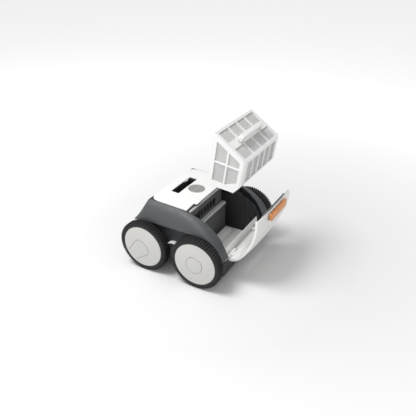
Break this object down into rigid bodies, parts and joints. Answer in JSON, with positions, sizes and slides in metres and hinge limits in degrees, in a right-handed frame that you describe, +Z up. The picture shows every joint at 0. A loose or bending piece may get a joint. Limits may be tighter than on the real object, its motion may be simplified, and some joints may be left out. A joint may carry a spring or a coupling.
{
  "type": "robotic pool cleaner",
  "caption": "Four-wheeled robotic pool cleaner with a swing-open front lid, lift-out debris basket, top hand slot, geared drive wheels and a pump under a round outlet grille.",
  "frame": {"origin": "centre of the base of the whole object's box, on the ground under the wheels, with the lid open and the basket lifted", "axes": "+Z up, -Y towards the front (the lid), +X towards the right side, wheel axles along X"},
  "size_m": [0.396, 0.4446, 0.4681],
  "materials": {
    "chassis_dark": "matte moulded plastic",
    "shell_blue_grey": "satin dark blue-grey plastic",
    "panel_white": "gloss white plastic",
    "hub_grey": "satin light grey plastic",
    "insert_grey": "matte light grey plastic",
    "mid_grey": "matte grey plastic",
    "liner_black": "matte black ribbed plastic",
    "tyre_black": "ribbed rubber",
    "lid_white": "gloss white plastic",
    "basket_white": "satin white plastic",
    "mesh_grey": "fine woven filter mesh",
    "latch_orange": "satin orange plastic",
    "steel": "stainless steel",
    "motor_metal": "sealed motor can",
    "board_green": "circuit board",
    "seal_rubber": "soft rubber",
    "gear_white": "acetal"
  },
  "bodies": {
    "body": {"chassis_tray": "chassis_dark", "bottom_plate": "chassis_dark", "body_screws": "steel", "wheel_axles": "steel", "floor_insert": "insert_grey", "intake_duct": "mid_grey", "front_sill": "insert_grey", "lid_hinge_pins": "steel", "rear_shell": "chassis_dark", "cable_gland": "chassis_dark", "gland_nut": "chassis_dark", "top_panel": "panel_white", "outlet_grille": "insert_grey", "hand_pocket": "chassis_dark", "lip_seal_rail": "insert_grey", "power_unit_housing": "chassis_dark", "power_unit_ledge": "mid_grey", "pump_cover": "mid_grey", "outlet_duct": "gear_white", "pump_motor": "motor_metal", "control_board": "board_green", "drive_motors": "motor_metal", "gear_guards": "gear_white", "side_shell_right": "shell_blue_grey", "side_shell_left": "shell_blue_grey", "wheel_well_right": "chassis_dark", "wheel_well_left": "chassis_dark", "bay_liner_right": "liner_black", "bay_liner_left": "liner_black"},
    "pump_rotor": {"impeller": "gear_white", "pump_shaft": "steel"},
    "flap": {"intake_flap": "mid_grey"},
    "pinion_drive_right": {"pinion_right": "gear_white"},
    "wheel_front_right": {"tyre_front_right": "tyre_black", "hub_front_right": "hub_grey", "hub_cap_front_right": "hub_grey", "wheel_gear_front_right": "gear_white"},
    "wheel_rear_right": {"tyre_rear_right": "tyre_black", "hub_rear_right": "hub_grey", "hub_cap_rear_right": "hub_grey", "wheel_gear_rear_right": "gear_white"},
    "pinion_drive_left": {"pinion_left": "gear_white"},
    "wheel_front_left": {"tyre_front_left": "tyre_black", "hub_front_left": "hub_grey", "hub_cap_front_left": "hub_grey", "wheel_gear_front_left": "gear_white"},
    "wheel_rear_left": {"tyre_rear_left": "tyre_black", "hub_rear_left": "hub_grey", "hub_cap_rear_left": "hub_grey", "wheel_gear_rear_left": "gear_white"},
    "lid": {"lid_shell": "lid_white", "lid_seal": "seal_rubber", "latch_pin": "steel"},
    "latch": {"latch_lever": "latch_orange"},
    "handle": {"lift_handle": "basket_white"},
    "basket": {"basket_frame": "basket_white", "basket_mesh": "mesh_grey", "basket_clip": "basket_white", "handle_pins": "steel"},
    "door": {"basket_door": "basket_white"}
  },
  "joints": [
    {"name": "pump_spin", "type": "hinge", "parent": "body", "child": "pump_rotor", "pos_m": [0, 0.0582, 0.178], "axis": [0, 0, 1], "continuous": true},
    {"name": "intake_flap_swing", "type": "hinge", "parent": "body", "child": "flap", "pos_m": [0, -0.0058, 0.0523], "axis": [-1, 0, 0], "range_deg": [0, 45]},
    {"name": "wheel_front_right_spin", "type": "hinge", "parent": "body", "child": "wheel_front_right", "pos_m": [0.181, -0.04815, 0.0844], "axis": [1, 0, 0], "continuous": true},
    {"name": "wheel_rear_right_spin", "type": "hinge", "parent": "body", "child": "wheel_rear_right", "pos_m": [0.181, 0.13785, 0.0844], "axis": [1, 0, 0], "continuous": true},
    {"name": "pinion_right_spin", "type": "hinge", "parent": "body", "child": "pinion_drive_right", "pos_m": [0.164, 0.04485, 0.0844], "axis": [1, 0, 0], "continuous": true},
    {"name": "wheel_front_left_spin", "type": "hinge", "parent": "body", "child": "wheel_front_left", "pos_m": [-0.181, -0.04815, 0.0844], "axis": [1, 0, 0], "continuous": true},
    {"name": "wheel_rear_left_spin", "type": "hinge", "parent": "body", "child": "wheel_rear_left", "pos_m": [-0.181, 0.13785, 0.0844], "axis": [1, 0, 0], "continuous": true},
    {"name": "pinion_left_spin", "type": "hinge", "parent": "body", "child": "pinion_drive_left", "pos_m": [-0.164, 0.04485, 0.0844], "axis": [1, 0, 0], "continuous": true},
    {"name": "lid_swing", "type": "hinge", "parent": "body", "child": "lid", "pos_m": [0, -0.1148, 0.082], "axis": [1, 0, 0], "range_deg": [-72, 0]},
    {"name": "latch_release", "type": "hinge", "parent": "lid", "child": "latch", "pos_m": [0, -0.21785, 0.213], "axis": [1, 0, 0], "range_deg": [0, 20], "stiffness_Nm_per_rad": 0.1, "springref_deg": -11.46},
    {"name": "basket_lift", "type": "slide", "parent": "body", "child": "handle", "axis": [0, -0.2639, 0.9646], "range_m": [-0.2756, 0]},
    {"name": "basket_tilt", "type": "hinge", "parent": "handle", "child": "basket", "pos_m": [0, -0.11824, 0.44087], "axis": [1, 0, 0], "range_deg": [-8, 0]},
    {"name": "basket_door_swing", "type": "hinge", "parent": "basket", "child": "door", "pos_m": [0, -0.12262, 0.30187], "axis": [-1, 0, 0], "range_deg": [0, 90]}
  ],
  "couplings": [
    {"joint": "wheel_rear_right_spin", "follows": "wheel_front_right_spin", "ratio": 1},
    {"joint": "pinion_right_spin", "follows": "wheel_front_right_spin", "ratio": -3.0435},
    {"joint": "wheel_rear_left_spin", "follows": "wheel_front_left_spin", "ratio": 1},
    {"joint": "pinion_left_spin", "follows": "wheel_front_left_spin", "ratio": -3.0435},
    {"joint": "basket_tilt", "follows": "basket_lift", "rad_per_m": 0.50663}
  ]
}
